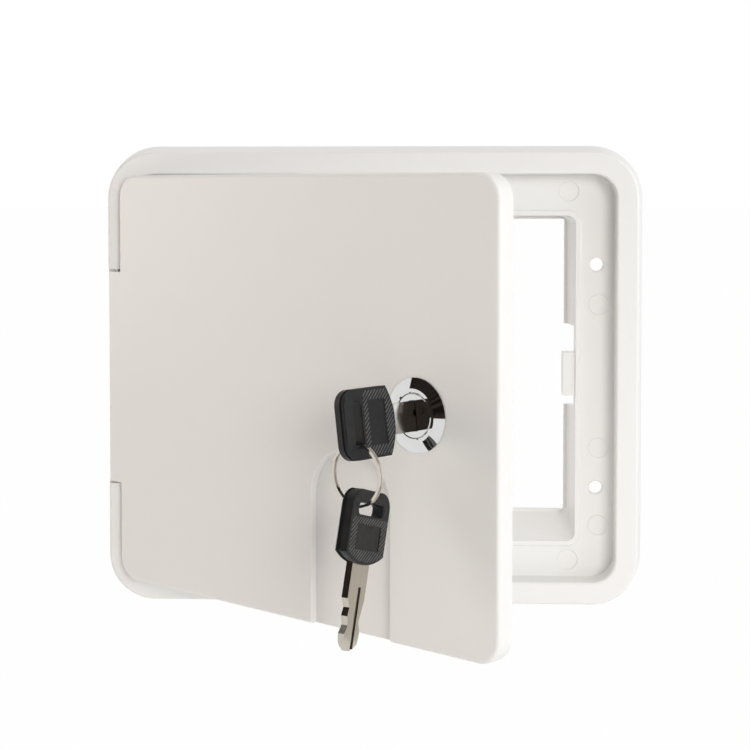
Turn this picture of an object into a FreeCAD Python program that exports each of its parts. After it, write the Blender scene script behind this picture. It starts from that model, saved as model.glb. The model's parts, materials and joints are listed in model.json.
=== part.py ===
import FreeCAD, Part
import math
import os

from FreeCAD import Matrix, Placement, Rotation, Vector

# Cable storage hatch for a caravan wall. Millimetres, X right, Y into the wall, Z up.
# The origin is the centre of the frame on the wall plane, and the front faces -Y.
# Everything on the door is drawn with the door shut, then swung open about the hinge.

# Pose of the moving pieces as they are drawn
DOOR_OPEN_DEG = 39.0
KEY_TURN_DEG = -8.0
SPARE_LEAN_DEG = 15.7
SPARE_YAW_DEG = 10.0

# Frame moulding
FRAME_W = 183.2
FRAME_H = 156.6
FRAME_R = 17.6
RIM_FLARE = 2.2
RIM_W = 7.4
RIM_D = 12.0
RIM_ROUND = 0.9
RIM_INNER_ROUND = 0.9
FLOOR_T = 2.5
RIM_WALL = 2.2
RIB_T = 1.6
RIB_PITCH = 28.0
RIB_SETBACK = 1.0

# Cut-out through the floor and the collar behind it
LAND_SIDE = 13.0
LAND_TOP = 14.0
LAND_BOTTOM = 12.2
CUT_R = 3.0
BEAD_W = 1.8
BEAD_H = 0.8
BEAD_ROUND = 0.6
COLLAR_D = 12.0
COLLAR_WALL = 2.0
DRAFT_SIDE = 2.2
DRAFT_TOP = 0.3
DRAFT_SILL = 7.5
LIP_W = 1.0
LIP_R = 0.6
LIP_T = 1.6

# Keeper for the cam, in a gap of the collar on the free side
KEEPER_UP = 1.4
KEEPER_HALF_H = 7.3
KEEPER_REACH = 4.4
KEEPER_ROUND = 0.5
KEEPER_GAP_UP = 9.1
KEEPER_GAP_DOWN = 4.5
CAM_GAP = 0.6

# Screw holes and ejector marks in the floor
SCREW_FROM_END = 40.2
SCREW_OFF_MIDDLE = 0.5
SCREW_R = 2.25
SCREW_EDGE = 0.4
MARK_R = 3.5
MARK_D = 0.15
MARK_OFF_SCREW = 0.9
MARK_CORNER_IN = 15.4
MARK_CORNER_DOWN = 5.75
MARK_MID_Z = 24.5
MARK_LOW_UP = 17.75

# Door
DOOR_GAP = 0.5
HINGE_GAP = 1.0
DOOR_PROUD = 0.5
SKIN_T = 2.4
EDGE_D = 6.0
EDGE_WALL = 2.0
EDGE_ROUND = 1.2
HINGE_INSET = 3.5
HINGE_EDGE_T = 1.2
HINGE_EDGE_RUN = 1.5
DOOR_RIB_T = 1.6
DOOR_RIB_D = 2.6
DOOR_RIB_FROM_ARCH = 34.3
DOOR_RIB_STEP = 34.0
DOOR_RIB_Z = 26.0

# Hinge
HINGE_IN = 5.2
HINGE_BACK = 4.4
KNUCKLE_R = 2.9
TAB_HALF_L = 35.7
TAB_OVER = 0.5
TAB_ROUND = 1.4
TAB_END_GAP = 0.8
TAB_OVERLAP = 3.0
NOTCH_GAP = 0.5
PIN_R = 1.25
PIN_SEAT = 6.0
PIN_FIT = 0.02
PIN_RUN = 0.08
BOSS_L = 8.0

# Cable outlet arch in the door and the slider behind it
ARCH_FROM_EDGE = 56.1
ARCH_W = 31.7
ARCH_SPRING = 38.9
ARCH_ROUND = 0.5
SLIDER_T = 2.0
SLIDER_LAP = 1.3
SLIDER_FIT = 0.15
SLIDER_SIDE_GAP = 0.3
SLIDER_TRAVEL = 14.0
FLANGE_T = 2.0
RAIL_T = 2.0
RAIL_LIP = 1.0
RAIL_LIP_T = 1.2
RAIL_FOOT = 3.0

# Cam lock
LOCK_FROM_EDGE = 29.6
LOCK_Z = -0.8
BEZEL_R = 10.8
BEZEL_EDGE = 0.5
BEZEL_FACE_R = 7.8
BEZEL_H = 2.0
FACE_STEP = 0.3
BARREL_R = 8.3
BARREL_FLAT = 7.4
BARREL_L = 18.0
BARREL_FIT = 0.1
PLUG_R = 6.5
PLUG_RUN = 0.08
SHANK_HALF = 3.5
SHANK_FIT = 0.05
BOSS_R = 11.8
BOSS_D = 1.6
NUT_FLATS = 19.8
NUT_T = 3.5
NUT_FIT = 0.05
CAM_T = 2.0
CAM_HALF_W = 6.5
CAM_PAST = 0.4
CAM_SEAT = 0.1
WASHER_R = 4.6
WASHER_T = 0.8
SCREW_SHANK_R = 2.0
SCREW_WALL = 0.4
SCREW_HEAD_R = 4.0
SCREW_HEAD_T = 2.6
SOCKET_FLATS = 3.0
SOCKET_D = 1.6

# Keys
HEAD_W = 19.5
HEAD_L = 20.3
HEAD_T = 4.0
HEAD_R = 4.5
HEAD_ARC = 2.8
HEAD_ROUND = 0.5
HEAD_GROOVE_FROM = 0.2
HEAD_GROOVE_W = 1.2
HEAD_GROOVE_D = 0.35
SLOT_L = 12.6
SLOT_W = 3.3
SLOT_R = 1.3
SLOT_BAR = 3.6
LABEL_L = 12.2
LABEL_W = 6.6
LABEL_FROM_TIP = 7.4
LABEL_D = 0.15
BLADE_W = 8.6
BLADE_L = 23.2
BLADE_T = 2.0
BLADE_TANG = 8.0
BLADE_SHOWN = 9.7
BLADE_FIT = 0.02
BLADE_NECK = 9.3
BLADE_TIP_L = 2.0
BLADE_TIP_HALF = 1.0
CUTS_UP = (1.6, 1.1, 2.0, 0.8, 1.4)
CUTS_DOWN = (0.7, 1.4, 0.2, 0.6)
KEYWAY_FIT = 0.15
GROOVE_W = 1.6
GROOVE_D = 0.4
GROOVE_FROM = 6.0
GROOVE_OFF = 0.9

# Split ring
RING_R = 9.0
RING_WIRE = 0.75
RING_TURN = 0.5
RING_PART = 0.15
RING_PART_D = 0.25
RING_END_GAP = 0.4
RING_END_DEG = (62.0, 84.0)
RING_BAR_GAP = 0.9
SPARE_WIRE_DROP = 1.3
SPARE_WIRE_OUT = 4.8

# Worked out from the sizes above
RIM_Y = -RIM_D
FLOOR_Y = -FLOOR_T
RECESS_IN = RIM_FLARE + RIM_W
RECESS_W = FRAME_W - 2 * RECESS_IN
RECESS_H = FRAME_H - 2 * RECESS_IN
RECESS_R = FRAME_R - RECESS_IN
CUT_W = RECESS_W - 2 * LAND_SIDE
CUT_H = RECESS_H - LAND_TOP - LAND_BOTTOM
CUT_DROP = (LAND_TOP - LAND_BOTTOM) / 2
CUT_RIGHT = CUT_W / 2
CUT_BACK_W = CUT_W - 2 * DRAFT_SIDE
CUT_BACK_H = CUT_H - DRAFT_TOP - DRAFT_SILL
CUT_BACK_Z = -CUT_DROP + (DRAFT_SILL - DRAFT_TOP) / 2
SCREW_X = CUT_RIGHT + LAND_SIDE / 2 + SCREW_OFF_MIDDLE
SCREW_Z = FRAME_H / 2 - SCREW_FROM_END
MARK_SIDE_X = SCREW_X + MARK_OFF_SCREW
MARK_CORNER_X = RECESS_W / 2 - MARK_CORNER_IN
MARK_CORNER_Z = RECESS_H / 2 - MARK_CORNER_DOWN
MARK_LOW_Z = MARK_LOW_UP - RECESS_H / 2
FRONT_Y = RIM_Y - DOOR_PROUD
SKIN_Y = FRONT_Y + SKIN_T
EDGE_Y = FRONT_Y + EDGE_D
DOOR_X0 = -RECESS_W / 2 + HINGE_GAP
DOOR_X1 = RECESS_W / 2 - DOOR_GAP
DOOR_W = DOOR_X1 - DOOR_X0
DOOR_H = RECESS_H - 2 * DOOR_GAP
DOOR_R = RECESS_R - DOOR_GAP
DOOR_MID_X = (DOOR_X0 + DOOR_X1) / 2
DOOR_Z0 = -DOOR_H / 2
HINGE_X = -FRAME_W / 2 + HINGE_IN
HINGE_Y = RIM_Y + HINGE_BACK
NOTCH_HALF = TAB_HALF_L + TAB_END_GAP
NOTCH_Y = HINGE_Y + KNUCKLE_R + NOTCH_GAP
PIN_HALF = NOTCH_HALF + PIN_SEAT
ARCH_X = DOOR_X1 - ARCH_FROM_EDGE
ARCH_R = ARCH_W / 2
SLIDER_Y = SKIN_Y + SLIDER_FIT
SLIDER_HALF = ARCH_R + SLIDER_LAP
RAIL_IN = SLIDER_HALF + SLIDER_SIDE_GAP
RAIL_LIP_Y = SLIDER_Y + SLIDER_T + SLIDER_FIT
DOOR_RIB_NEAR = ARCH_X - DOOR_RIB_FROM_ARCH
DOOR_RIB_X = (DOOR_RIB_NEAR - DOOR_RIB_STEP, DOOR_RIB_NEAR)
LOCK_X = DOOR_X1 - LOCK_FROM_EDGE
CAM_REACH = CUT_RIGHT - LOCK_X + CAM_PAST
BARREL_Y = FRONT_Y + BARREL_L
NUT_Y = SKIN_Y + BOSS_D
FACE_Y = FRONT_Y - BEZEL_H + FACE_STEP
CAM_Y = BARREL_Y + CAM_SEAT
WASHER_Y = CAM_Y + CAM_T
SCREW_HEAD_Y = WASHER_Y + WASHER_T
KEEPER_Y = CAM_Y - CAM_GAP
HEAD_TIP_Y = FACE_Y - BLADE_SHOWN
KEYWAY_END = HEAD_TIP_Y + BLADE_L + KEYWAY_FIT
SCREW_END = KEYWAY_END + SCREW_WALL
SLOT_Y0 = -HEAD_L + SLOT_BAR
SLOT_MID_Y = SLOT_Y0 + SLOT_W / 2
RING_IN_R = RING_R - RING_WIRE
RING_T = 2 * RING_TURN + RING_PART
X_AXIS = Vector(1, 0, 0)
Y_AXIS = Vector(0, 1, 0)
Z_AXIS = Vector(0, 0, 1)
OVER = 1.0
SAME = 1e-4


# Shape helpers

def box(x0, x1, y0, y1, z0, z1):
    return Part.makeBox(x1 - x0, y1 - y0, z1 - z0, Vector(x0, y0, z0))


def rod_y(x, z, radius, y0, y1):
    return Part.makeCylinder(radius, y1 - y0, Vector(x, y0, z), Y_AXIS)


def rod_z(x, y, radius, z0, z1):
    return Part.makeCylinder(radius, z1 - z0, Vector(x, y, z0), Z_AXIS)


def rounded_wire(x, z, width, height, radius, y):
    """Rounded rectangle in a plane parallel to the wall."""
    half_w = width / 2 - radius
    half_h = height / 2 - radius
    corners = [(half_w, half_h, 0), (-half_w, half_h, 90), (-half_w, -half_h, 180), (half_w, -half_h, 270)]

    def on_arc(corner, degrees):
        angle = math.radians(degrees)
        dx = corner[0] + radius * math.cos(angle)
        dz = corner[1] + radius * math.sin(angle)
        return Vector(x + dx, y, z + dz)

    edges = []
    for i, corner in enumerate(corners):
        after = corners[(i + 1) % len(corners)]
        start, middle, end = (on_arc(corner, corner[2] + turn) for turn in (0, 45, 90))
        edges.append(Part.Arc(start, middle, end).toShape())
        edges.append(Part.LineSegment(end, on_arc(after, after[2])).toShape())
    return Part.Wire(edges)


def slab(x, z, width, height, radius, y0, y1):
    face = Part.Face(rounded_wire(x, z, width, height, radius, y0))
    return face.extrude(Vector(0, y1 - y0, 0))


def outline_solid(points, depth):
    """Prism from an outline of points and arcs: a pair of points is an arc's middle and end."""
    edges = []
    here = points[0]
    for step in points[1:] + [points[0]]:
        if isinstance(step, tuple):
            edges.append(Part.Arc(here, step[0], step[1]).toShape())
            here = step[1]
        elif here.distanceToPoint(step) > SAME:
            edges.append(Part.LineSegment(here, step).toShape())
            here = step
    return Part.Face(Part.Wire(edges)).extrude(depth)


def edges_where(shape, test):
    return [edge for edge in shape.Edges if all(test(v.Point) for v in edge.Vertexes)]


def in_plane(axis, value):
    return lambda point: abs(getattr(point, axis) - value) < SAME


def turned(shape, base, axis, degrees):
    copy = shape.copy()
    copy.rotate(base, axis, degrees)
    return copy


# Frame

def flared(inset, y):
    """Outline of the rim's outer wall at a depth, which flares towards the wall plane."""
    inward = inset - RIM_FLARE * y / RIM_D
    return rounded_wire(0, 0, FRAME_W - 2 * inward, FRAME_H - 2 * inward, FRAME_R - inward, y)


def flared_solid(inset, y0, y1):
    return Part.makeLoft([flared(inset, y0), flared(inset, y1)], True, True)


def channel(depth_y):
    """Hollow of the rim, open to the back, with cross ribs left standing and solid hinge bosses."""
    outer = flared_solid(RIM_WALL, depth_y, OVER)
    inner = slab(0, 0, RECESS_W + 2 * RIM_WALL, RECESS_H + 2 * RIM_WALL, RECESS_R + RIM_WALL,
                 depth_y - OVER, 2 * OVER)
    hollow = outer.cut(inner)
    boss_half = NOTCH_HALF + BOSS_L
    left = -FRAME_W / 2
    solid_parts = [box(left, left + RECESS_IN, depth_y - OVER, 2 * OVER, -boss_half, boss_half)]
    for half, span in ((FRAME_W / 2, FRAME_H), (FRAME_H / 2, FRAME_W)):
        count = int((span / 2 - FRAME_R) // RIB_PITCH)
        for i in range(-count, count + 1):
            at = i * RIB_PITCH
            for side in (-1, 1):
                across = sorted((side * half, side * (half - RECESS_IN)))
                along = (at - RIB_T / 2, at + RIB_T / 2)
                xs, zs = (across, along) if half == FRAME_W / 2 else (along, across)
                solid_parts.append(box(*xs, depth_y - OVER, -RIB_SETBACK, *zs))
    return hollow.cut(Part.makeCompound(solid_parts))


def rim_and_floor():
    body = flared_solid(0, RIM_Y, 0)
    body = body.makeFillet(RIM_ROUND, edges_where(body, in_plane("y", RIM_Y)))
    body = body.cut(slab(0, 0, RECESS_W, RECESS_H, RECESS_R, RIM_Y - OVER, FLOOR_Y))
    reach = RECESS_W / 2 + SAME
    inner = [e for e in edges_where(body, in_plane("y", RIM_Y))
             if all(abs(v.X) < reach and abs(v.Z) < RECESS_H / 2 + SAME for v in e.Vertexes)]
    body = body.makeFillet(RIM_INNER_ROUND, inner)
    body = body.cut(channel(RIM_Y + RIM_WALL))
    left = -FRAME_W / 2
    notch = box(left - OVER, left + RECESS_IN + OVER, RIM_Y - OVER, NOTCH_Y, -NOTCH_HALF, NOTCH_HALF)
    return body.cut(notch)


def collar_outline(grow, y, back):
    if back:
        size = (0, CUT_BACK_Z, CUT_BACK_W, CUT_BACK_H)
    else:
        size = (0, -CUT_DROP, CUT_W, CUT_H)
    x, z, width, height = size
    return rounded_wire(x, z, width + 2 * grow, height + 2 * grow, CUT_R + grow, y)


def cut_out(body):
    """Raised bead round the cut-out, drafted collar behind it and a narrow lip at the collar's end."""
    bead = slab(0, -CUT_DROP, CUT_W + 2 * BEAD_W, CUT_H + 2 * BEAD_W, CUT_R + BEAD_W, FLOOR_Y - BEAD_H, 0)
    bead = bead.makeFillet(BEAD_ROUND, edges_where(bead, in_plane("y", FLOOR_Y - BEAD_H)))
    outer = Part.makeLoft([collar_outline(COLLAR_WALL, FLOOR_Y, False),
                           collar_outline(COLLAR_WALL, COLLAR_D, True)], True, True)
    body = body.fuse([bead, outer])
    body = body.cut(slab(0, -CUT_DROP, CUT_W, CUT_H, CUT_R, FLOOR_Y - BEAD_H - OVER, FLOOR_Y))
    inner = Part.makeLoft([collar_outline(0, FLOOR_Y, False),
                           collar_outline(0, COLLAR_D - LIP_T, True)], True, True)
    body = body.cut(inner)
    lip = slab(0, CUT_BACK_Z, CUT_BACK_W - 2 * LIP_W, CUT_BACK_H - 2 * LIP_W, LIP_R, FLOOR_Y, COLLAR_D + OVER)
    return body.cut(lip)


def keeper(body):
    """Gap in the free side of the collar, with the tab that the cam turns behind."""
    low = LOCK_Z + KEEPER_UP - KEEPER_HALF_H
    high = LOCK_Z + KEEPER_UP + KEEPER_HALF_H
    gap = box(CUT_RIGHT - DRAFT_SIDE - LIP_W - OVER, CUT_RIGHT + COLLAR_WALL + OVER, 0, COLLAR_D + OVER,
              low - KEEPER_GAP_DOWN, high + KEEPER_GAP_UP)
    tab = box(CUT_RIGHT - KEEPER_REACH, CUT_RIGHT + COLLAR_WALL, FLOOR_Y, KEEPER_Y, low, high)
    free = edges_where(tab, in_plane("x", CUT_RIGHT - KEEPER_REACH))
    tab = tab.makeFillet(KEEPER_ROUND, free)
    return body.cut(gap).fuse(tab)


def floor_holes():
    tools = []
    for x in (-SCREW_X, SCREW_X):
        for z in (-SCREW_Z, SCREW_Z):
            tools.append(rod_y(x, z, SCREW_R, FLOOR_Y - OVER, OVER))
            mouth = Vector(x, FLOOR_Y, z)
            tools.append(Part.makeCone(SCREW_R + SCREW_EDGE, SCREW_R, SCREW_EDGE, mouth, Y_AXIS))
    return tools


def ejector_marks():
    places = [(x, z) for x in (-MARK_CORNER_X, MARK_CORNER_X) for z in (-MARK_CORNER_Z, MARK_CORNER_Z)]
    places += [(x, z) for x in (-MARK_SIDE_X, MARK_SIDE_X) for z in (-MARK_MID_Z, MARK_MID_Z, MARK_LOW_Z)]
    return [rod_y(x, z, MARK_R, FLOOR_Y - OVER, FLOOR_Y + MARK_D) for x, z in places]


def frame():
    body = keeper(cut_out(rim_and_floor()))
    seats = rod_z(HINGE_X, HINGE_Y, PIN_R + PIN_FIT, -PIN_HALF, PIN_HALF)
    body = body.cut(Part.makeCompound(floor_holes()))
    body = body.cut(Part.makeCompound(ejector_marks()))
    return body.cut(seats).removeSplitter()


def hinge_pin():
    pin = rod_z(HINGE_X, HINGE_Y, PIN_R, -PIN_HALF + PIN_FIT, PIN_HALF - PIN_FIT)
    return pin.makeChamfer(PIN_R / 4, pin.Edges)


# Door

def shell():
    """Skin with a turned-back edge on three sides. The hinge side is thin skin that swings past the rim."""
    body = slab(DOOR_MID_X, 0, DOOR_W, DOOR_H, DOOR_R, FRONT_Y, EDGE_Y)
    body = body.makeFillet(EDGE_ROUND, edges_where(body, in_plane("y", FRONT_Y)))
    inner_x0 = DOOR_X0 + HINGE_INSET + EDGE_WALL
    inner_w = DOOR_X1 - EDGE_WALL - inner_x0
    inner = slab(inner_x0 + inner_w / 2, 0, inner_w, DOOR_H - 2 * EDGE_WALL, DOOR_R - EDGE_WALL,
                 SKIN_Y, EDGE_Y + OVER)
    body = body.cut(inner)
    reach = DOOR_H
    body = body.cut(box(DOOR_X0 - OVER, DOOR_X0 + HINGE_INSET, SKIN_Y, EDGE_Y + OVER, -reach, reach))
    thin = outline_solid([Vector(DOOR_X0 - SAME, FRONT_Y + HINGE_EDGE_T, -reach),
                          Vector(DOOR_X0 + HINGE_EDGE_RUN, SKIN_Y, -reach),
                          Vector(DOOR_X0 + HINGE_EDGE_RUN, SKIN_Y + OVER, -reach),
                          Vector(DOOR_X0 - SAME, SKIN_Y + OVER, -reach)], Vector(0, 0, 2 * reach))
    return body.cut(thin)


def hinge_tab():
    """Tab that runs over the rim to the knuckle on the hinge pin."""
    left = HINGE_X - TAB_OVER
    tab = box(left, DOOR_X0 + TAB_OVERLAP, FRONT_Y, SKIN_Y, -TAB_HALF_L, TAB_HALF_L)
    tab = tab.makeFillet(TAB_ROUND, [e for e in edges_where(tab, in_plane("x", left))
                                     if in_plane("y", FRONT_Y)(e.CenterOfMass)])
    knuckle = rod_z(HINGE_X, HINGE_Y, KNUCKLE_R, -TAB_HALF_L, TAB_HALF_L)
    web = box(HINGE_X, HINGE_X + KNUCKLE_R, SKIN_Y - HINGE_EDGE_T, HINGE_Y, -TAB_HALF_L, TAB_HALF_L)
    return tab.fuse([knuckle, web])


def arch_solid(half, y0, y1, low):
    """Arch outline that stands on the door's bottom edge."""
    spring = DOOR_Z0 + ARCH_SPRING
    points = [Vector(ARCH_X - half, y0, low),
              Vector(ARCH_X + half, y0, low),
              Vector(ARCH_X + half, y0, spring),
              (Vector(ARCH_X, y0, spring + half), Vector(ARCH_X - half, y0, spring))]
    return outline_solid(points, Vector(0, y1 - y0, 0))


def cut_arch(body):
    body = body.cut(arch_solid(ARCH_R, FRONT_Y - OVER, SKIN_Y + OVER, DOOR_Z0 - OVER))
    body = body.cut(box(ARCH_X - RAIL_IN, ARCH_X + RAIL_IN, SKIN_Y, EDGE_Y + OVER,
                        DOOR_Z0 - OVER, DOOR_Z0 + EDGE_WALL + SAME))
    above_round = DOOR_Z0 + EDGE_ROUND - SAME
    rim = [e for e in edges_where(body, in_plane("y", FRONT_Y))
           if all(abs(v.X - ARCH_X) < ARCH_R + SAME and v.Z > above_round for v in e.Vertexes)
           and e.CenterOfMass.z < LOCK_Z]
    return body.makeFillet(ARCH_ROUND, rim)


def rails():
    """Two angle rails behind the skin that carry the slider."""
    low = DOOR_Z0 + RAIL_FOOT
    high = DOOR_Z0 + ARCH_SPRING + SLIDER_TRAVEL / 2
    solids = []
    for side in (-1, 1):
        web = sorted((ARCH_X + side * RAIL_IN, ARCH_X + side * (RAIL_IN + RAIL_T)))
        lip = sorted((ARCH_X + side * (SLIDER_HALF - RAIL_LIP), ARCH_X + side * (RAIL_IN + RAIL_T)))
        solids.append(box(*web, SKIN_Y - SAME, RAIL_LIP_Y + RAIL_LIP_T, low, high))
        solids.append(box(*lip, RAIL_LIP_Y, RAIL_LIP_Y + RAIL_LIP_T, low, high))
    return solids


def door_ribs():
    """Stiffening ribs behind the skin, clear of the slider and the lock."""
    left = DOOR_X0 + HINGE_INSET + EDGE_WALL - SAME
    right = DOOR_X1 - EDGE_WALL + SAME
    top = DOOR_H / 2 - EDGE_WALL + SAME
    back = SKIN_Y + DOOR_RIB_D
    half = DOOR_RIB_T / 2
    solids = [box(x - half, x + half, SKIN_Y - SAME, back, -top, top) for x in DOOR_RIB_X]
    solids.append(box(left, right, SKIN_Y - SAME, back, DOOR_RIB_Z - half, DOOR_RIB_Z + half))
    solids.append(box(left, DOOR_RIB_X[-1], SKIN_Y - SAME, back, -DOOR_RIB_Z - half, -DOOR_RIB_Z + half))
    return solids


def barrel_section(radius, flat, y0, y1):
    """Round bar with two flats, the section of the lock barrel and of its hole."""
    bar = rod_y(LOCK_X, LOCK_Z, radius, y0, y1)
    return bar.common(box(LOCK_X - flat, LOCK_X + flat, y0, y1, LOCK_Z - radius, LOCK_Z + radius))


def door():
    body = shell().fuse(hinge_tab())
    boss = rod_y(LOCK_X, LOCK_Z, BOSS_R, SKIN_Y - SAME, NUT_Y)
    body = body.fuse([boss] + door_ribs())
    body = cut_arch(body).fuse(rails())
    body = body.cut(barrel_section(BARREL_R + BARREL_FIT, BARREL_FLAT + BARREL_FIT,
                                   FRONT_Y - OVER, NUT_Y + OVER))
    bore = rod_z(HINGE_X, HINGE_Y, PIN_R + PIN_RUN, -TAB_HALF_L - OVER, TAB_HALF_L + OVER)
    return body.cut(bore).removeSplitter()


def cable_slider():
    """Arch plate that closes the cable outlet, with a foot that fills the gap in the door's edge."""
    plate = arch_solid(SLIDER_HALF, SLIDER_Y, SLIDER_Y + SLIDER_T, DOOR_Z0)
    foot_half = SLIDER_HALF - RAIL_LIP - SLIDER_SIDE_GAP
    foot = box(ARCH_X - foot_half, ARCH_X + foot_half, SLIDER_Y, EDGE_Y, DOOR_Z0, DOOR_Z0 + FLANGE_T)
    return plate.fuse(foot).removeSplitter()


# Lock

def turned_profile(points):
    """Solid of revolution about the lock axis from points of radius and Y."""
    corners = [Vector(LOCK_X + radius, y, LOCK_Z) for radius, y in points]
    face = Part.Face(Part.makePolygon(corners + corners[:1]))
    return face.revolve(Vector(LOCK_X, 0, LOCK_Z), Y_AXIS, 360)


def lock_body():
    bore = PLUG_R + PLUG_RUN
    top = FRONT_Y - BEZEL_H
    bezel = turned_profile([(bore, FRONT_Y), (BEZEL_R, FRONT_Y), (BEZEL_R, FRONT_Y - BEZEL_EDGE),
                            (BEZEL_FACE_R, top), (bore + FACE_STEP, top), (bore, top + FACE_STEP)])
    barrel = barrel_section(BARREL_R, BARREL_FLAT, FRONT_Y, BARREL_Y)
    barrel = barrel.cut(rod_y(LOCK_X, LOCK_Z, bore, FRONT_Y - OVER, BARREL_Y + OVER))
    return bezel.fuse(barrel).removeSplitter()


def hexagon(radius, y0, y1):
    corners = []
    for i in range(6):
        angle = math.radians(60 * i)
        corners.append(Vector(LOCK_X + radius * math.cos(angle), y0, LOCK_Z + radius * math.sin(angle)))
    return Part.Face(Part.makePolygon(corners + corners[:1])).extrude(Vector(0, y1 - y0, 0))


def lock_nut():
    nut = hexagon(NUT_FLATS / math.sqrt(3), NUT_Y, NUT_Y + NUT_T)
    return nut.cut(rod_y(LOCK_X, LOCK_Z, BARREL_R + NUT_FIT, NUT_Y - OVER, NUT_Y + NUT_T + OVER))


def square_y(half, y0, y1):
    return box(LOCK_X - half, LOCK_X + half, y0, y1, LOCK_Z - half, LOCK_Z + half)


def lock_cylinder():
    plug = rod_y(LOCK_X, LOCK_Z, PLUG_R, FACE_Y, BARREL_Y)
    plug = plug.makeChamfer(FACE_STEP, edges_where(plug, in_plane("y", FACE_Y)))
    plug = plug.fuse(square_y(SHANK_HALF, BARREL_Y, WASHER_Y))
    half_t = BLADE_T / 2 + KEYWAY_FIT
    half_w = BLADE_W / 2 + KEYWAY_FIT
    keyway = box(LOCK_X - half_t, LOCK_X + half_t, FACE_Y - OVER, KEYWAY_END,
                 LOCK_Z - half_w, LOCK_Z + half_w)
    thread = rod_y(LOCK_X, LOCK_Z, SCREW_SHANK_R + SHANK_FIT, SCREW_END, WASHER_Y + OVER)
    return plug.cut(keyway).cut(thread).removeSplitter()


def lock_cam():
    top = LOCK_Z + CAM_REACH
    shoulder = top - CAM_HALF_W / 2
    y0 = CAM_Y
    points = [Vector(LOCK_X + CAM_HALF_W, y0, LOCK_Z), Vector(LOCK_X + CAM_HALF_W, y0, shoulder),
              (Vector(LOCK_X, y0, top), Vector(LOCK_X - CAM_HALF_W, y0, shoulder)),
              Vector(LOCK_X - CAM_HALF_W, y0, LOCK_Z),
              (Vector(LOCK_X, y0, LOCK_Z - CAM_HALF_W), Vector(LOCK_X + CAM_HALF_W, y0, LOCK_Z))]
    plate = outline_solid(points, Vector(0, CAM_T, 0))
    return plate.cut(square_y(SHANK_HALF + SHANK_FIT, CAM_Y - OVER, CAM_Y + CAM_T + OVER))


def cam_washer():
    washer = rod_y(LOCK_X, LOCK_Z, WASHER_R, WASHER_Y, SCREW_HEAD_Y)
    return washer.cut(rod_y(LOCK_X, LOCK_Z, SCREW_SHANK_R + SHANK_FIT, WASHER_Y - OVER, SCREW_HEAD_Y + OVER))


def cam_screw():
    end = SCREW_HEAD_Y + SCREW_HEAD_T
    head = rod_y(LOCK_X, LOCK_Z, SCREW_HEAD_R, SCREW_HEAD_Y, end)
    head = head.makeFillet(SCREW_HEAD_T / 3, edges_where(head, in_plane("y", end)))
    shank = rod_y(LOCK_X, LOCK_Z, SCREW_SHANK_R, SCREW_END + SHANK_FIT, SCREW_HEAD_Y)
    socket = hexagon(SOCKET_FLATS / math.sqrt(3), end - SOCKET_D, end + OVER)
    return head.fuse(shank).cut(socket).removeSplitter()


# Keys, drawn about the middle of the head's arched end: Y to the tip, Z across, X through

def head_outline(x0, depth, inset=0.0):
    half = HEAD_W / 2 - inset
    back = inset - HEAD_L
    radius = HEAD_R - inset
    shoulder = -HEAD_ARC - inset
    inner = half - radius
    bend = radius * math.sqrt(0.5)
    arc_y = back + radius - bend
    arc_z = inner + bend
    points = [Vector(x0, shoulder, -half), (Vector(x0, -inset, 0), Vector(x0, shoulder, half)),
              Vector(x0, back + radius, half), (Vector(x0, arc_y, arc_z), Vector(x0, back, inner)),
              Vector(x0, back, -inner), (Vector(x0, arc_y, -arc_z), Vector(x0, back + radius, -half))]
    return outline_solid(points, Vector(depth, 0, 0))


def edge_groove():
    """Groove round the head's edge, behind its front plate."""
    band = head_outline(HEAD_GROOVE_FROM, HEAD_GROOVE_W, -OVER)
    return band.cut(head_outline(HEAD_GROOVE_FROM - OVER, HEAD_GROOVE_W + 2 * OVER, HEAD_GROOVE_D))


def through_slot():
    """Rounded slot for the ring, across the head near its outer end."""
    hole = slab(0, 0, SLOT_W, SLOT_L, SLOT_R, -HEAD_T, HEAD_T)
    hole = turned(hole, Vector(0, 0, 0), Z_AXIS, 90)
    hole.translate(Vector(0, SLOT_MID_Y, 0))
    return hole


def key_head():
    half_t = HEAD_T / 2
    head = head_outline(-half_t, HEAD_T)
    head = head.cut(through_slot())
    flat_edges = edges_where(head, in_plane("x", -half_t)) + edges_where(head, in_plane("x", half_t))
    head = head.makeFillet(HEAD_ROUND, flat_edges)
    head = head.cut(edge_groove())
    for side in (-1, 1):
        xs = sorted((side * (half_t - LABEL_D), side * HEAD_T))
        head = head.cut(box(*xs, -LABEL_FROM_TIP - LABEL_W / 2, -LABEL_FROM_TIP + LABEL_W / 2,
                            -LABEL_L / 2, LABEL_L / 2))
    half_w = BLADE_W / 2 + BLADE_FIT
    pocket = BLADE_T / 2 + BLADE_FIT
    return head.cut(box(-pocket, pocket, -BLADE_TANG - BLADE_FIT, OVER, -half_w, half_w))


def key_blade():
    """Blade with a tang in the head, cut on both edges and grooved on both faces."""
    half_t = BLADE_T / 2
    half_w = BLADE_W / 2

    def cut_edge(side, depths):
        pitch = (BLADE_L - BLADE_NECK - BLADE_TIP_L) / len(depths)
        whole = [(-BLADE_TANG, side * half_w), (BLADE_NECK, side * half_w)]
        cuts = [(BLADE_NECK + pitch * (i + 1), side * (half_w - depth)) for i, depth in enumerate(depths)]
        return whole + cuts + [(BLADE_L, side * BLADE_TIP_HALF)]

    corners = cut_edge(1, CUTS_UP) + cut_edge(-1, CUTS_DOWN)[::-1]
    points = [Vector(-half_t, y, z) for y, z in corners]
    blade = outline_solid(points, Vector(BLADE_T, 0, 0))
    for side in (-1, 1):
        xs = sorted((side * (half_t - GROOVE_D), side * BLADE_T))
        middle = side * GROOVE_OFF
        blade = blade.cut(box(*xs, GROOVE_FROM, BLADE_L + OVER, middle - GROOVE_W / 2, middle + GROOVE_W / 2))
    return blade


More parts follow.
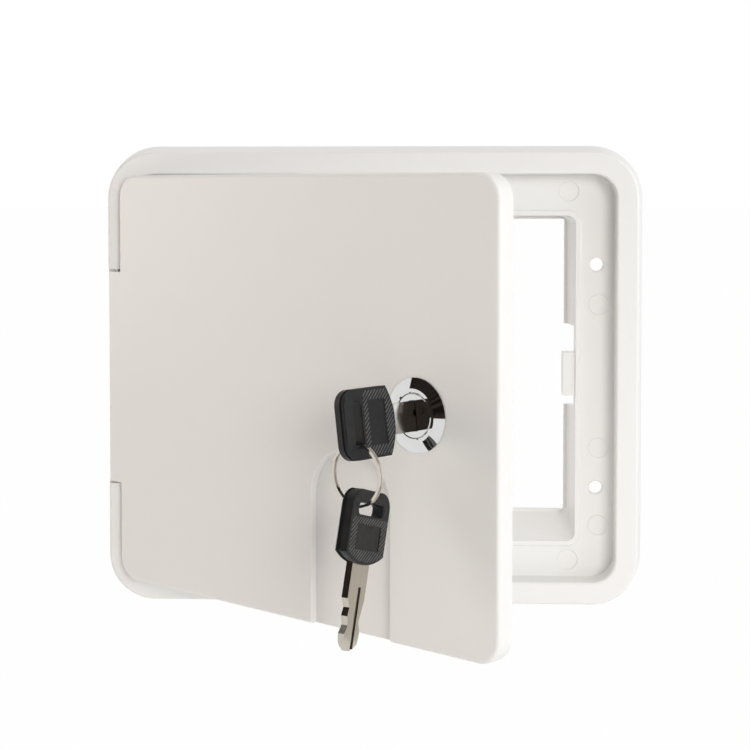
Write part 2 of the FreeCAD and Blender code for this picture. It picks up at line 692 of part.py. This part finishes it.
def key_ring():
    """Split ring of two flat turns, drawn about its own centre with its axis along Y."""
    half = RING_T / 2
    ring = rod_y(0, 0, RING_R, -half, half).cut(rod_y(0, 0, RING_IN_R, -half - OVER, half + OVER))
    seam = RING_PART / 2
    for inner, outer in ((RING_R - RING_PART_D, RING_R + OVER), (RING_IN_R - OVER, RING_IN_R + RING_PART_D)):
        ring = ring.cut(rod_y(0, 0, outer, -seam, seam).cut(rod_y(0, 0, inner, -half, half)))
    for side, degrees in zip((-1, 1), RING_END_DEG):
        ys = sorted((side * seam, side * (half + OVER)))
        cut = box(RING_IN_R - OVER, RING_R + OVER, *ys, -RING_END_GAP / 2, RING_END_GAP / 2)
        ring = ring.cut(turned(cut, Vector(0, 0, 0), Y_AXIS, degrees))
    return ring


# Places of the moving pieces

def on_lock(shape):
    """Turn with the lock, about its axis."""
    return turned(shape, Vector(LOCK_X, 0, LOCK_Z), Y_AXIS, KEY_TURN_DEG)


def in_keyway(shape):
    copy = shape.copy()
    copy.translate(Vector(LOCK_X, HEAD_TIP_Y, LOCK_Z))
    return on_lock(copy)


def bar_centre():
    """Middle of the bar below the slot of the key in the lock, which the ring hangs on."""
    local = Vector(0, SLOT_MID_Y, -(SLOT_L / 2 + HEAD_W / 2) / 2)
    turn = Rotation(Y_AXIS, KEY_TURN_DEG)
    return turn.multVec(local) + Vector(LOCK_X, HEAD_TIP_Y, LOCK_Z)


def ring_centre():
    bar_half = (HEAD_W - SLOT_L) / 4
    return bar_centre() - Z_AXIS * (RING_IN_R - bar_half - RING_BAR_GAP)


def ring_foot():
    """Middle of the wire at the lowest point of the ring."""
    return ring_centre() - Z_AXIS * (RING_R - RING_WIRE / 2)


def on_ring(shape):
    """Hang the spare key on the ring by the outer end of its slot."""
    upright = Matrix(-1, 0, 0, 0, 0, 0, -1, 0, 0, -1, 0, 0, 0, 0, 0, 1)
    hang = Rotation(upright)
    lean = Rotation(X_AXIS, -SPARE_LEAN_DEG)
    yaw = Rotation(Z_AXIS, SPARE_YAW_DEG)
    turn = yaw.multiply(lean).multiply(hang)
    wire = Vector(0, SLOT_Y0 + SPARE_WIRE_DROP, SPARE_WIRE_OUT)
    copy = shape.copy()
    copy.Placement = Placement(ring_foot() - turn.multVec(wire), turn)
    return copy


def ring_in_place():
    ring = key_ring()
    ring.translate(ring_centre())
    return ring


def open_door(shape):
    return turned(shape, Vector(HINGE_X, HINGE_Y, 0), Z_AXIS, -DOOR_OPEN_DEG)


def fixed_parts():
    return {"frame": frame(), "hinge_pin": hinge_pin()}


def door_parts():
    head = key_head()
    blade = key_blade()
    return {
        "door": door(),
        "cable_slider": cable_slider(),
        "lock_body": lock_body(),
        "lock_nut": lock_nut(),
        "lock_cylinder": on_lock(lock_cylinder()),
        "lock_cam": on_lock(lock_cam()),
        "cam_washer": on_lock(cam_washer()),
        "cam_screw": on_lock(cam_screw()),
        "key_head": in_keyway(head),
        "key_blade": in_keyway(blade),
        "key_ring": ring_in_place(),
        "spare_key_head": on_ring(head),
        "spare_key_blade": on_ring(blade),
    }


def main():
    os.makedirs("parts", exist_ok=True)
    shapes = fixed_parts()
    shapes.update({name: open_door(shape) for name, shape in door_parts().items()})
    for name, shape in shapes.items():
        shape.exportStep(f"parts/{name}.step")
        print(name, shape.isValid(), len(shape.Solids), round(shape.Volume, 1))


main()
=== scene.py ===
import json
import math

import bmesh
import bpy
from mathutils import Matrix, Vector


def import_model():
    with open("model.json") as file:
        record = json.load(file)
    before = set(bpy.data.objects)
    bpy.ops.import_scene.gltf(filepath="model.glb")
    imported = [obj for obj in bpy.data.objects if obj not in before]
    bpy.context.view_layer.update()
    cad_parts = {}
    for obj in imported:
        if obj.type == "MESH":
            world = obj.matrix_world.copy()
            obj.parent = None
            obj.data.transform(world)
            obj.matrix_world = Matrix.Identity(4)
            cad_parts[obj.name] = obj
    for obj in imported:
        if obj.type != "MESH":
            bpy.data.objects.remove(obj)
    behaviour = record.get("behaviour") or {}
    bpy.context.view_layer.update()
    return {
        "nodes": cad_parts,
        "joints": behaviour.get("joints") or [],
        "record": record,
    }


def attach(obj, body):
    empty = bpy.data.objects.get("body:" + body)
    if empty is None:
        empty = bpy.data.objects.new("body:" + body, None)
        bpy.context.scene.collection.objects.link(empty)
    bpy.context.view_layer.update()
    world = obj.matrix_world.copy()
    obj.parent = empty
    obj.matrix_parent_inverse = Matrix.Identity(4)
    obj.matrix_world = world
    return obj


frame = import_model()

# Looks of the cable storage hatch. Metres, X right, Y into the wall, Z up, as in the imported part.

MM = 0.001

# Camera, at the photograph's viewing angle
CAMERA_AT = Vector((0.03214, -0.57047, 0.06321))
CAMERA_YAW_DEG = 3.172
CAMERA_PITCH_DEG = -2.16
CAMERA_LENS = 79.9
CAMERA_SHIFT_Y = -0.1624
CAMERA_SENSOR_W = 36.0
CAMERA_CLIP_START = 0.01

# Stage and light
LIT_MIDDLE = Vector((0.0, -0.04, 0.0))
FLOOR_Z = -0.36
FLOOR_HALF = 40.0
FLOOR_COLOR = (0.95, 0.95, 0.94, 1.0)
FLOOR_GLOW_SHARE = 0.98
AMBIENT = (1.0, 0.955, 0.93, 1.0)
AMBIENT_STRENGTH = 0.745
AMBIENT_OVERHEAD = 0.9
BACKGROUND = (1.0, 1.0, 1.0, 1.0)
KEY_AT = Vector((0.58, -1.62, 0.34))
KEY_SIZE = 0.7
KEY_POWER = 9.7
KEY_COLOR = (1.0, 0.985, 0.95)
SIDE_AT = Vector((1.46, -0.91, 0.30))
SIDE_SIZE = 0.7
SIDE_POWER = 3.3
SIDE_COLOR = (0.84, 1.0, 1.18)
LEFT_AT = Vector((-1.50, 0.12, 0.27))
LEFT_SIZE = 0.8
LEFT_POWER = 4.3
LEFT_COLOR = (1.0, 0.945, 0.83)
SCREEN_R = 2.6
SCREEN_FROM_DEG = 173.0
SHADE_TO_DEG = 250.0
GLOSS_TO_DEG = 288.0
SCREEN_FALL = 0.0099
SCREEN_TOP = 3.4
SCREEN_STEP_DEG = 5.0
SCREEN_COLOR = (0.10, 0.065, 0.04, 1.0)
ROOM_COLOR = (0.04, 0.031, 0.025, 1.0)

# Finishes: colour, range of roughness, fineness of the grain and depth of its relief
NOISE_LOW = 0.3
NOISE_HIGH = 0.7
PLASTIC_WHITE = (0.872, 0.868, 0.855)
PLASTIC_SHADE = (0.869, 0.8645, 0.851)
PLASTIC_ROUGH = (0.284, 0.290)
PLASTIC_MOTTLE = 14.0
PLASTIC_GRAIN = 140.0
PLASTIC_IOR = 1.49
CHROME = (0.70, 0.705, 0.70)
CHROME_ROUGH = (0.03, 0.06)
CHROME_GRAIN = 600.0
CHROME_RELIEF = 0.000004
ZINC = (0.62, 0.62, 0.63)
ZINC_ROUGH = (0.26, 0.42)
ZINC_GRAIN = 1400.0
ZINC_RELIEF = 0.00002
BLACK = (0.010, 0.010, 0.0105)
BLACK_WORN = (0.016, 0.016, 0.0165)
BLACK_ROUGH = (0.36, 0.50)
BLACK_GLOSS = 0.28
BLACK_WEAR_GRAIN = 420.0
BLACK_ROUGH_GRAIN = 900.0
BLACK_GRAIN = 5200.0
BLACK_RELIEF = 0.00004
BLACK_RELIEF_SHARE = 0.25
# Colour of the raised ribs on the key heads: lighter than the face, partly rubbed wear and partly a painted
# highlight along the ridges
RIB_WEAR_AND_HIGHLIGHT = (0.085, 0.085, 0.086)
RIB_WEAR_AND_HIGHLIGHT_WORN = (0.130, 0.130, 0.130)
NICKEL = (0.56, 0.52, 0.46)
NICKEL_ROUGH = (0.15, 0.20)
NICKEL_GRAIN = 2600.0
NICKEL_RELIEF = 0.000002
NICKEL_STRETCH = ((0.0, 0.0, 0.0), (1.0, 1.0, 0.12))
RING_NICKEL = (0.64, 0.59, 0.53)
RING_ROUGH = (0.08, 0.16)
RING_GRAIN = 1500.0
RING_RELIEF = 0.000008
METAL_DULL = 0.96
METAL_RELIEF_SHARE = 0.15

# Key heads, in millimetres of the key's own frame: Y to the tip, Z across, X through
KEY_TURN_DEG = -8.0
HEAD_TIP_OUT = 11.4
HEAD_HALF_W = 9.75
HEAD_HALF_T = 2.0
HEAD_ARC = 2.8
SLOT_SIDE_Y = -13.4
SLOT_OUT_Y = -16.7
LABEL_Y = -7.4
LABEL_HALF_W = 3.3
LABEL_HALF_L = 6.1
RIB_PITCH = 0.9
RIB_HALF_W = 0.2
RIB_H = 0.18
RIB_SINK = 0.05
RIB_MARGIN = 0.75
RIB_STEP = 0.05
RIB_SHORTEST = 0.6
SPARE_LEAN_DEG = 15.7
SPARE_WIRE_DROP = 1.3
SPARE_WIRE_OUT = 4.8

# Ejector marks on the recess floor, in millimetres
MARK_R = 3.5
MARK_FLOOR_Y = -2.5
MARK_CORNERS = (66.6, 62.95)
MARK_SIDE_X = 76.9
MARK_SIDE_Z = (-24.5, 24.5, -50.95)
MARK_EDGE_HALF_W = 0.2
MARK_EDGE_H = 0.12
MARK_SEGMENTS = 48

# Thread on the lock's barrel, in millimetres from the front of the door
BARREL_R = 8.3
BARREL_FLAT = 7.4
THREAD_FROM = 8.2
THREAD_TO = 17.4
THREAD_PITCH = 1.0
THREAD_H = 0.22
THREAD_STEP_DEG = 4.0
THREAD_FOOT_SHARE = 0.9


# Shader helpers

def new_material(name):
    material = bpy.data.materials.new(name)
    material.use_nodes = True
    tree = material.node_tree
    tree.nodes.clear()
    output = tree.nodes.new("ShaderNodeOutputMaterial")
    shader = tree.nodes.new("ShaderNodeBsdfPrincipled")
    tree.links.new(shader.outputs["BSDF"], output.inputs["Surface"])
    return material, tree, shader


def noise(tree, scale, detail=3.0, stretch=None):
    """Noise in the part's own frame, so that it stays put from every side."""
    place = tree.nodes.new("ShaderNodeTexCoord")
    texture = tree.nodes.new("ShaderNodeTexNoise")
    texture.inputs["Scale"].default_value = scale
    texture.inputs["Detail"].default_value = detail
    source = place.outputs["Object"]
    if stretch:
        mapping = tree.nodes.new("ShaderNodeMapping")
        mapping.inputs["Rotation"].default_value = stretch[0]
        mapping.inputs["Scale"].default_value = stretch[1]
        tree.links.new(source, mapping.inputs["Vector"])
        source = mapping.outputs["Vector"]
    tree.links.new(source, texture.inputs["Vector"])
    return texture.outputs["Fac"]


def ramp_color(tree, factor, low, high, socket):
    ramp = tree.nodes.new("ShaderNodeValToRGB")
    ramp.color_ramp.elements[0].position = NOISE_LOW
    ramp.color_ramp.elements[1].position = NOISE_HIGH
    ramp.color_ramp.elements[0].color = (*low, 1.0)
    ramp.color_ramp.elements[1].color = (*high, 1.0)
    tree.links.new(factor, ramp.inputs["Fac"])
    tree.links.new(ramp.outputs["Color"], socket)


def ramp_value(tree, factor, low, high, socket):
    ranged = tree.nodes.new("ShaderNodeMapRange")
    ranged.inputs["From Min"].default_value = NOISE_LOW
    ranged.inputs["From Max"].default_value = NOISE_HIGH
    ranged.inputs["To Min"].default_value = low
    ranged.inputs["To Max"].default_value = high
    tree.links.new(factor, ranged.inputs["Value"])
    tree.links.new(ranged.outputs["Result"], socket)


def bump(tree, factor, depth, strength, shader):
    node = tree.nodes.new("ShaderNodeBump")
    node.inputs["Strength"].default_value = strength
    node.inputs["Distance"].default_value = depth
    tree.links.new(factor, node.inputs["Height"])
    tree.links.new(node.outputs["Normal"], shader.inputs["Normal"])


# Materials

def white_plastic():
    """Smooth semi-gloss moulded plastic with a faint flow mottle."""
    material, tree, shader = new_material("white_plastic")
    mottle = noise(tree, PLASTIC_MOTTLE, 2.0)
    ramp_color(tree, mottle, PLASTIC_SHADE, PLASTIC_WHITE, shader.inputs["Base Color"])
    ramp_value(tree, noise(tree, PLASTIC_GRAIN), *PLASTIC_ROUGH, shader.inputs["Roughness"])
    shader.inputs["IOR"].default_value = PLASTIC_IOR
    return material


def metal(name, color, rough, grain, depth, stretch=None):
    material, tree, shader = new_material(name)
    dull = tuple(METAL_DULL * c for c in color)
    ramp_color(tree, noise(tree, grain / 3, 4.0, stretch), dull, color, shader.inputs["Base Color"])
    ramp_value(tree, noise(tree, grain, 4.0, stretch), *rough, shader.inputs["Roughness"])
    bump(tree, noise(tree, grain * 2, 3.0, stretch), depth, METAL_RELIEF_SHARE, shader)
    shader.inputs["Metallic"].default_value = 1.0
    return material


def key_plastic(name, color, worn):
    """Black moulded plastic, a little greyer where hands rub it; the colour given for the ribs is lighter,
    partly as rubbed wear and partly as a painted highlight along the ridges.
    """
    material, tree, shader = new_material(name)
    ramp_color(tree, noise(tree, BLACK_WEAR_GRAIN, 4.0), color, worn, shader.inputs["Base Color"])
    ramp_value(tree, noise(tree, BLACK_ROUGH_GRAIN, 3.0), *BLACK_ROUGH, shader.inputs["Roughness"])
    bump(tree, noise(tree, BLACK_GRAIN, 2.0), BLACK_RELIEF, BLACK_RELIEF_SHARE, shader)
    shader.inputs["Specular IOR Level"].default_value = BLACK_GLOSS
    return material


def materials():
    return {
        "white_plastic": white_plastic(),
        "lock_chrome": metal("lock_chrome", CHROME, CHROME_ROUGH, CHROME_GRAIN, CHROME_RELIEF),
        "plated_steel": metal("plated_steel", ZINC, ZINC_ROUGH, ZINC_GRAIN, ZINC_RELIEF),
        "key_plastic": key_plastic("key_plastic", BLACK, BLACK_WORN),
        # Rib finish: lighter than the head's face, partly rubbed wear and partly a painted highlight on the
        # ridges
        "key_ribs": key_plastic("key_plastic_worn_and_highlit", RIB_WEAR_AND_HIGHLIGHT, RIB_WEAR_AND_HIGHLIGHT_WORN),
        "key_nickel": metal("key_nickel", NICKEL, NICKEL_ROUGH, NICKEL_GRAIN, NICKEL_RELIEF, NICKEL_STRETCH),
        "ring_steel": metal("ring_steel", RING_NICKEL, RING_ROUGH, RING_GRAIN, RING_RELIEF),
    }


def dress_nodes(finishes):
    """Give each node the finish of its slot in the record."""
    for part in frame["record"]["subparts"]:
        node = frame["nodes"][part["node"]]
        node.data.materials.clear()
        node.data.materials.append(finishes[part["material_slot"]])


# Mesh helpers

def new_piece(name, mesh, place, finish, body):
    """Piece made of a mesh in millimetres, put in its place on a body."""
    bmesh.ops.recalc_face_normals(mesh, faces=mesh.faces)
    bmesh.ops.transform(mesh, matrix=place @ Matrix.Scale(MM, 4), verts=mesh.verts)
    data = bpy.data.meshes.new(name)
    mesh.to_mesh(data)
    mesh.free()
    data.materials.append(finish)
    piece = bpy.data.objects.new(name, data)
    bpy.context.scene.collection.objects.link(piece)
    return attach(piece, body)


def joint(name):
    return next(j for j in frame["joints"] if j["name"] == name)


def lock_axis():
    """Place of the lock, its direction into the door, and the turn of Y to that direction."""
    lock = joint("lock_turn")
    inward = Vector(lock["axis"])
    swing = inward.to_2d().angle_signed(Vector((0, 1)))
    return Vector(lock["pos_m"]), inward, Matrix.Rotation(swing, 4, "Z")


# Diagonal ribs on the key heads

def on_ribbed_face(y, z):
    """True where the face is ribbed: between the slot and the arched end, and off the label strip."""
    arched_end = -HEAD_ARC * (z / HEAD_HALF_W) ** 2
    inside = SLOT_SIDE_Y + RIB_MARGIN < y < arched_end - RIB_MARGIN and abs(z) < HEAD_HALF_W - RIB_MARGIN
    label = abs(y - LABEL_Y) < LABEL_HALF_W + RIB_HALF_W and abs(z) < LABEL_HALF_L + RIB_HALF_W
    return inside and not label


def rib_stretches():
    """Ends of each stretch of rib, as pairs of (y, z), along parallel diagonals."""
    reach = 2 * HEAD_HALF_W
    along = (math.sqrt(0.5), math.sqrt(0.5))
    count = int(2 * reach / RIB_PITCH)
    steps = int(2 * reach / RIB_STEP)
    stretches = []
    for i in range(-count, count + 1):
        offset = i * RIB_PITCH
        start = None
        for k in range(-steps, steps + 1):
            run = k * RIB_STEP
            y = LABEL_Y + run * along[0] - offset * along[1]
            z = run * along[1] + offset * along[0]
            if on_ribbed_face(y, z):
                start = start or (y, z)
                last = (y, z)
            elif start:
                if math.dist(start, last) > RIB_SHORTEST:
                    stretches.append((start, last))
                start = None
    return stretches


def add_rib(mesh, side, start, end):
    """Ridge with a narrow top, its foot a little inside the head."""
    side_y = RIB_HALF_W * math.sqrt(0.5)
    foot = side * (HEAD_HALF_T - RIB_SINK)
    top = side * (HEAD_HALF_T + RIB_H)
    loops = []
    for y, z in (start, end):
        loops.append([mesh.verts.new((foot, y - side_y, z + side_y)),
                      mesh.verts.new((top, y - side_y / 3, z + side_y / 3)),
                      mesh.verts.new((top, y + side_y / 3, z - side_y / 3)),
                      mesh.verts.new((foot, y + side_y, z - side_y))])
    for i in range(4):
        k = (i + 1) % 4
        mesh.faces.new((loops[0][i], loops[0][k], loops[1][k], loops[1][i]))
    mesh.faces.new(loops[0][::-1])
    mesh.faces.new(loops[1])


def key_ribs(name, place, finish, body):
    mesh = bmesh.new()
    for side in (-1, 1):
        for start, end in rib_stretches():
            add_rib(mesh, side, start, end)
    return new_piece(name, mesh, place, finish, body)


def key_place():
    """Frame of the key in the lock, from the lock's axis."""
    at, inward, swing = lock_axis()
    turn = swing @ Matrix.Rotation(math.radians(KEY_TURN_DEG), 4, "Y")
    return Matrix.Translation(at - inward * HEAD_TIP_OUT * MM) @ turn


def spare_place():
    """Frame of the spare key, hung on the lowest point of the ring."""
    hung = joint("spare_key_swing")
    tangent = -Vector(hung["axis"])
    yaw = tangent.to_2d().angle_signed(Vector((1, 0)))
    upright = Matrix(((-1, 0, 0, 0), (0, 0, -1, 0), (0, -1, 0, 0), (0, 0, 0, 1)))
    turn = Matrix.Rotation(yaw, 4, "Z") @ Matrix.Rotation(math.radians(-SPARE_LEAN_DEG), 4, "X") @ upright
    wire = Vector((0, SLOT_OUT_Y + SPARE_WIRE_DROP, SPARE_WIRE_OUT)) * MM
    return Matrix.Translation(Vector(hung["pos_m"]) - turn.to_3x3() @ wire) @ turn


# Edges of the ejector marks

def mark_places():
    corner_x, corner_z = MARK_CORNERS
    corners = [(x, z) for x in (-corner_x, corner_x) for z in (-corner_z, corner_z)]
    return corners + [(x, z) for x in (-MARK_SIDE_X, MARK_SIDE_X) for z in MARK_SIDE_Z]


def add_mark_edge(mesh, x, z):
    """Low round ridge, its foot a little inside the floor."""
    foot = MARK_FLOOR_Y + RIB_SINK
    top = MARK_FLOOR_Y - MARK_EDGE_H
    profile = ((-MARK_EDGE_HALF_W, foot), (0.0, top), (MARK_EDGE_HALF_W, foot))
    rings = []
    for i in range(MARK_SEGMENTS):
        angle = 2 * math.pi * i / MARK_SEGMENTS
        rings.append([mesh.verts.new((x + (MARK_R + out) * math.cos(angle), y,
                                      z + (MARK_R + out) * math.sin(angle))) for out, y in profile])
    for i, ring in enumerate(rings):
        after = rings[(i + 1) % MARK_SEGMENTS]
        for a, b in ((0, 1), (1, 2), (2, 0)):
            mesh.faces.new((ring[a], ring[b], after[b], after[a]))


def mark_edges(finish):
    mesh = bmesh.new()
    for x, z in mark_places():
        add_mark_edge(mesh, x, z)
    return new_piece("mark_edges", mesh, Matrix.Identity(4), finish, "frame")


# Thread behind the nut

def barrel_thread(finish):
    """Helical ridge on the round sides of the lock's barrel, left off its two flats."""
    mesh = bmesh.new()
    turns = (THREAD_TO - THREAD_FROM) / THREAD_PITCH
    steps = int(turns * 360 / THREAD_STEP_DEG)
    half = THREAD_FOOT_SHARE * THREAD_PITCH / 2
    profile = ((BARREL_R - RIB_SINK, -half), (BARREL_R + THREAD_H, 0), (BARREL_R - RIB_SINK, half))
    last = None
    for i in range(steps + 1):
        angle = math.radians(i * THREAD_STEP_DEG)
        y = THREAD_FROM + THREAD_PITCH * i * THREAD_STEP_DEG / 360
        across = math.cos(angle)
        if abs(across) * BARREL_R > BARREL_FLAT - THREAD_H:
            last = None
            continue
        ring = []
        for radius, along in profile:
            ring.append(mesh.verts.new((radius * across, y + along, radius * math.sin(angle))))
        if last:
            for a, b in ((0, 1), (1, 2), (2, 0)):
                mesh.faces.new((last[a], last[b], ring[b], ring[a]))
        last = ring
    at, _, swing = lock_axis()
    return new_piece("lock_thread", mesh, Matrix.Translation(at) @ swing, finish, "door")


# Stage, light and camera

def ray_share(tree):
    """One for rays that come from the camera, from gloss or through glass."""
    path = tree.nodes.new("ShaderNodeLightPath")
    first = tree.nodes.new("ShaderNodeMath")
    first.operation = "MAXIMUM"
    second = tree.nodes.new("ShaderNodeMath")
    second.operation = "MAXIMUM"
    tree.links.new(path.outputs["Is Camera Ray"], first.inputs[0])
    tree.links.new(path.outputs["Is Glossy Ray"], first.inputs[1])
    tree.links.new(first.outputs["Value"], second.inputs[0])
    tree.links.new(path.outputs["Is Transmission Ray"], second.inputs[1])
    return second.outputs["Value"]


def sky_strength(tree, socket):
    """Even light all round, falling off a little towards straight overhead."""
    place = tree.nodes.new("ShaderNodeTexCoord")
    split = tree.nodes.new("ShaderNodeSeparateXYZ")
    height = tree.nodes.new("ShaderNodeMapRange")
    height.inputs["To Min"].default_value = AMBIENT_STRENGTH
    height.inputs["To Max"].default_value = AMBIENT_STRENGTH * AMBIENT_OVERHEAD
    tree.links.new(place.outputs["Generated"], split.inputs["Vector"])
    tree.links.new(split.outputs["Z"], height.inputs["Value"])
    tree.links.new(height.outputs["Result"], socket)


def world():
    made = bpy.data.worlds.new("studio")
    made.use_nodes = True
    tree = made.node_tree
    tree.nodes.clear()
    output = tree.nodes.new("ShaderNodeOutputWorld")
    mix = tree.nodes.new("ShaderNodeMixShader")
    soft = tree.nodes.new("ShaderNodeBackground")
    soft.inputs["Color"].default_value = AMBIENT
    sky_strength(tree, soft.inputs["Strength"])
    white = tree.nodes.new("ShaderNodeBackground")
    white.inputs["Color"].default_value = BACKGROUND
    tree.links.new(ray_share(tree), mix.inputs["Fac"])
    tree.links.new(soft.outputs["Background"], mix.inputs[1])
    tree.links.new(white.outputs["Background"], mix.inputs[2])
    tree.links.new(mix.outputs["Shader"], output.inputs["Surface"])
    bpy.context.scene.world = made


def floor_material():
    """Pale floor that keeps a soft shadow and melts into the white background."""
    material = bpy.data.materials.new("studio_floor")
    material.use_nodes = True
    tree = material.node_tree
    tree.nodes.clear()
    output = tree.nodes.new("ShaderNodeOutputMaterial")
    matte = tree.nodes.new("ShaderNodeBsdfDiffuse")
    matte.inputs["Color"].default_value = FLOOR_COLOR
    glow = tree.nodes.new("ShaderNodeEmission")
    glow.inputs["Color"].default_value = BACKGROUND
    share = tree.nodes.new("ShaderNodeMath")
    share.operation = "MULTIPLY"
    share.inputs[1].default_value = FLOOR_GLOW_SHARE
    mix = tree.nodes.new("ShaderNodeMixShader")
    tree.links.new(ray_share(tree), share.inputs[0])
    tree.links.new(share.outputs["Value"], mix.inputs["Fac"])
    tree.links.new(matte.outputs["BSDF"], mix.inputs[1])
    tree.links.new(glow.outputs["Emission"], mix.inputs[2])
    tree.links.new(mix.outputs["Shader"], output.inputs["Surface"])
    return material


def stage_mesh(name, points, faces, material):
    data = bpy.data.meshes.new(name)
    data.from_pydata(points, [], faces)
    data.materials.append(material)
    made = bpy.data.objects.new(name, data)
    bpy.context.scene.collection.objects.link(made)
    return made


def floor():
    half = FLOOR_HALF
    corners = [(x, y, FLOOR_Z) for x, y in ((-half, -half), (half, -half), (half, half), (-half, half))]
    stage_mesh("floor", corners, [(0, 1, 2, 3)], floor_material())


def screen(name, to_deg, middle, material):
    """Curved dark screen from the left round to the camera, its foot lower towards the camera."""
    steps = round((to_deg - SCREEN_FROM_DEG) / SCREEN_STEP_DEG)
    points = []
    for i in range(steps + 1):
        sweep = (to_deg - SCREEN_FROM_DEG) * i / steps
        angle = math.radians(SCREEN_FROM_DEG + sweep)
        at = middle + SCREEN_R * Vector((math.cos(angle), math.sin(angle), 0.0))
        points += [(at.x, at.y, at.z - SCREEN_FALL * sweep), (at.x, at.y, at.z + SCREEN_TOP)]
    faces = [(2 * i, 2 * i + 2, 2 * i + 3, 2 * i + 1) for i in range(steps)]
    made = stage_mesh(name, points, faces, material)
    made.visible_camera = False
    return made


def screen_material(name, color):
    material, _, shader = new_material(name)
    shader.inputs["Base Color"].default_value = color
    shader.inputs["Roughness"].default_value = 1.0
    return material


def screens(middle):
    """One screen shades the door's side. The other only shows in polished metal, as a dark room does."""
    shade = screen("shade_screen", SHADE_TO_DEG, middle, screen_material("warm_screen", SCREEN_COLOR))
    shade.visible_glossy = False
    room = screen("gloss_screen", GLOSS_TO_DEG, middle, screen_material("dark_screen", ROOM_COLOR))
    room.visible_diffuse = False
    room.visible_shadow = False


def area_light(name, place, size, power, color, glossy=True):
    """Round soft light aimed at the hatch, seen in polished pieces only if glossy is set."""
    light = bpy.data.lights.new(name, "AREA")
    light.shape = "DISK"
    light.size = size
    light.energy = power
    light.color = color
    lamp = bpy.data.objects.new(name, light)
    lamp.location = place
    lamp.rotation_euler = (LIT_MIDDLE - place).to_track_quat("-Z", "Y").to_euler()
    lamp.visible_camera = False
    lamp.visible_glossy = glossy
    bpy.context.scene.collection.objects.link(lamp)


def studio():
    world()
    floor()
    screens(Vector(joint("lock_turn")["pos_m"]))
    area_light("key_light", KEY_AT, KEY_SIZE, KEY_POWER, KEY_COLOR, glossy=False)
    area_light("side_light", SIDE_AT, SIDE_SIZE, SIDE_POWER, SIDE_COLOR)
    area_light("left_light", LEFT_AT, LEFT_SIZE, LEFT_POWER, LEFT_COLOR)


def camera():
    data = bpy.data.cameras.new("camera")
    data.lens = CAMERA_LENS
    data.sensor_width = CAMERA_SENSOR_W
    data.shift_y = CAMERA_SHIFT_Y
    data.clip_start = CAMERA_CLIP_START
    made = bpy.data.objects.new("camera", data)
    made.location = CAMERA_AT
    made.rotation_euler = (math.radians(90 + CAMERA_PITCH_DEG), 0, math.radians(CAMERA_YAW_DEG))
    bpy.context.scene.collection.objects.link(made)
    bpy.context.scene.camera = made


def main():
    finishes = materials()
    dress_nodes(finishes)
    key_ribs("key_ribs", key_place(), finishes["key_ribs"], "key")
    key_ribs("spare_key_ribs", spare_place(), finishes["key_ribs"], "spare_key")
    mark_edges(finishes["white_plastic"])
    barrel_thread(finishes["lock_chrome"])
    studio()
    camera()
    bpy.context.scene.view_settings.view_transform = "Standard"


main()
